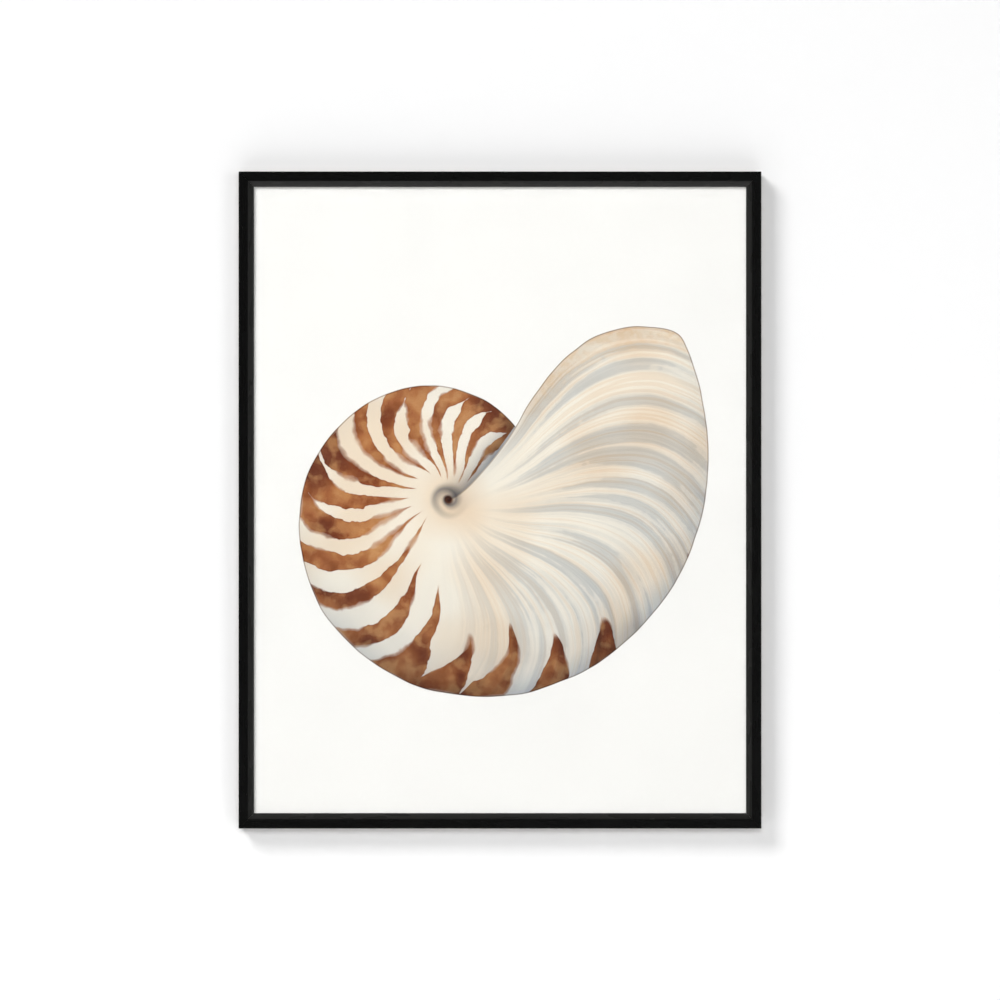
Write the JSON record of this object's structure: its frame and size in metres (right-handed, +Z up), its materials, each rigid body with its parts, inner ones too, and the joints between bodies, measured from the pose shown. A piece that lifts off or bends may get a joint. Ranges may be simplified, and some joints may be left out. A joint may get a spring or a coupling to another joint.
{
  "type": "framed art print",
  "caption": "Upright rectangular wall picture: a watercolour print of a nautilus shell behind clear acrylic in a thin black bevelled frame, with tabbed backing and a sawtooth hanger.",
  "frame": {"origin": "the point on the wall plane where the sawtooth hanger's middle notch sits on its nail", "axes": "+Z up, +X to the right of someone looking at the picture, +Y from the picture into the wall"},
  "size_m": [0.5934, 0.028, 0.7458],
  "materials": {
    "frame_finish": "satin",
    "clear_acrylic": "polished",
    "print_paper": "matte",
    "hardboard": "matte",
    "zinc_steel": "satin",
    "tab_steel": "satin",
    "bumper_rubber": "matte"
  },
  "bodies": {
    "root": {"rail_top": "frame_finish", "rail_bottom": "frame_finish", "rail_left": "frame_finish", "rail_right": "frame_finish", "v_nail_top_left": "zinc_steel", "v_nail_top_right": "zinc_steel", "v_nail_bottom_left": "zinc_steel", "v_nail_bottom_right": "zinc_steel", "glazing": "clear_acrylic", "art_print": "print_paper", "backing_board": "hardboard", "tab_top_1": "tab_steel", "tab_top_2": "tab_steel", "tab_top_3": "tab_steel", "tab_bottom_1": "tab_steel", "tab_bottom_2": "tab_steel", "tab_bottom_3": "tab_steel", "tab_left_1": "tab_steel", "tab_left_2": "tab_steel", "tab_left_3": "tab_steel", "tab_left_4": "tab_steel", "tab_right_1": "tab_steel", "tab_right_2": "tab_steel", "tab_right_3": "tab_steel", "tab_right_4": "tab_steel", "sawtooth_hanger": "zinc_steel", "hanger_nail_left": "zinc_steel", "hanger_nail_right": "zinc_steel", "bumper_left": "bumper_rubber", "bumper_right": "bumper_rubber"}
  },
  "joints": []
}
